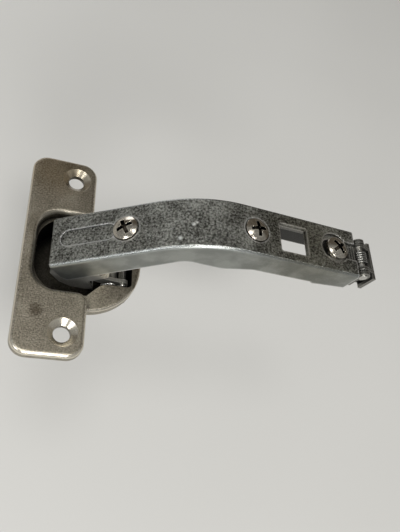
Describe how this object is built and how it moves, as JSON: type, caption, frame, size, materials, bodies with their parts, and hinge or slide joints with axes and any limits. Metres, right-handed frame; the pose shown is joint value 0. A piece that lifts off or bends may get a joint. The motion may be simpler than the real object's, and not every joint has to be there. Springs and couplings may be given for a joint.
{
  "type": "concealed cabinet hinge",
  "caption": "Concealed cup hinge with a bent die-cast arm, two-link mechanism in a round cup, adjusting screws and a clip adapter with latch lever, shown closed.",
  "frame": {"origin": "on the cup's axis at the level of the flange's underside, which is the door's face", "axes": "+Z out of the door's face along the cup's axis, +X along the arm towards the cabinet side, Y along the hinge pins"},
  "size_m": [0.1055, 0.0664, 0.0462],
  "materials": {
    "cup_steel": "warm satin nickel plating on pressed steel",
    "arm_zinc": "rough die-cast zinc, plated",
    "link_steel": "satin steel",
    "pin_steel": "smooth steel",
    "spring_steel": "bright spring wire",
    "screw_nickel": "bright nickel plating",
    "adapter_steel": "dark satin steel"
  },
  "bodies": {
    "cup_body": {"cup": "cup_steel", "cup_pin_outer": "pin_steel", "cup_pin_inner": "pin_steel", "closing_spring_left": "spring_steel", "closing_spring_right": "spring_steel"},
    "outer_link_body": {"outer_link": "link_steel"},
    "inner_link_body": {"inner_link": "link_steel"},
    "arm_body": {"arm": "arm_zinc", "link_carrier": "link_steel", "carrier_pin_outer": "pin_steel", "carrier_pin_inner": "pin_steel", "carrier_nut": "screw_nickel", "carrier_screw": "screw_nickel"},
    "side_screw_body": {"side_screw": "screw_nickel"},
    "adapter_body": {"adapter": "adapter_steel", "front_pin": "pin_steel", "latch_pin": "pin_steel", "latch_spring": "spring_steel"},
    "clamp_screw_body": {"clamp_screw": "screw_nickel"},
    "latch_lever_body": {"latch_lever": "adapter_steel"}
  },
  "joints": [
    {"name": "outer_link_turn", "type": "hinge", "parent": "cup_body", "child": "outer_link_body", "pos_m": [0.0124, 0, -0.0043], "axis": [0, 1, 0], "range_deg": [0, 64.22]},
    {"name": "arm_turn", "type": "hinge", "parent": "outer_link_body", "child": "arm_body", "pos_m": [-0.0018, 0, 0.0011], "axis": [0, 1, 0], "range_deg": [0, 30.8]},
    {"name": "inner_link_turn", "type": "hinge", "parent": "cup_body", "child": "inner_link_body", "pos_m": [0.0099, 0, -0.0084], "axis": [0, 1, 0], "range_deg": [0, 42.9]},
    {"name": "side_screw_turn", "type": "hinge", "parent": "arm_body", "child": "side_screw_body", "pos_m": [0.04196, 0, 0.0327], "axis": [0.0586, 0, 0.9983], "range_deg": [-360, 360]},
    {"name": "adapter_slide", "type": "slide", "parent": "arm_body", "child": "adapter_body", "axis": [0.9983, 0, -0.0586], "range_m": [-0.0016, 0]},
    {"name": "clamp_screw_turn", "type": "hinge", "parent": "adapter_body", "child": "clamp_screw_body", "pos_m": [0.07061, 0.0004, 0.03102], "axis": [0.0586, 0, 0.9983], "range_deg": [0, 360]},
    {"name": "latch_lever_turn", "type": "hinge", "parent": "adapter_body", "child": "latch_lever_body", "pos_m": [0.08134, 0, 0.02778], "axis": [0, 1, 0], "range_deg": [-18, 0], "stiffness_Nm_per_rad": 0.03, "springref_deg": 22.92}
  ],
  "couplings": [
    {"joint": "arm_turn", "follows": "outer_link_turn", "ratio": 0.47929},
    {"joint": "inner_link_turn", "follows": "outer_link_turn", "ratio": 0.66716}
  ]
}
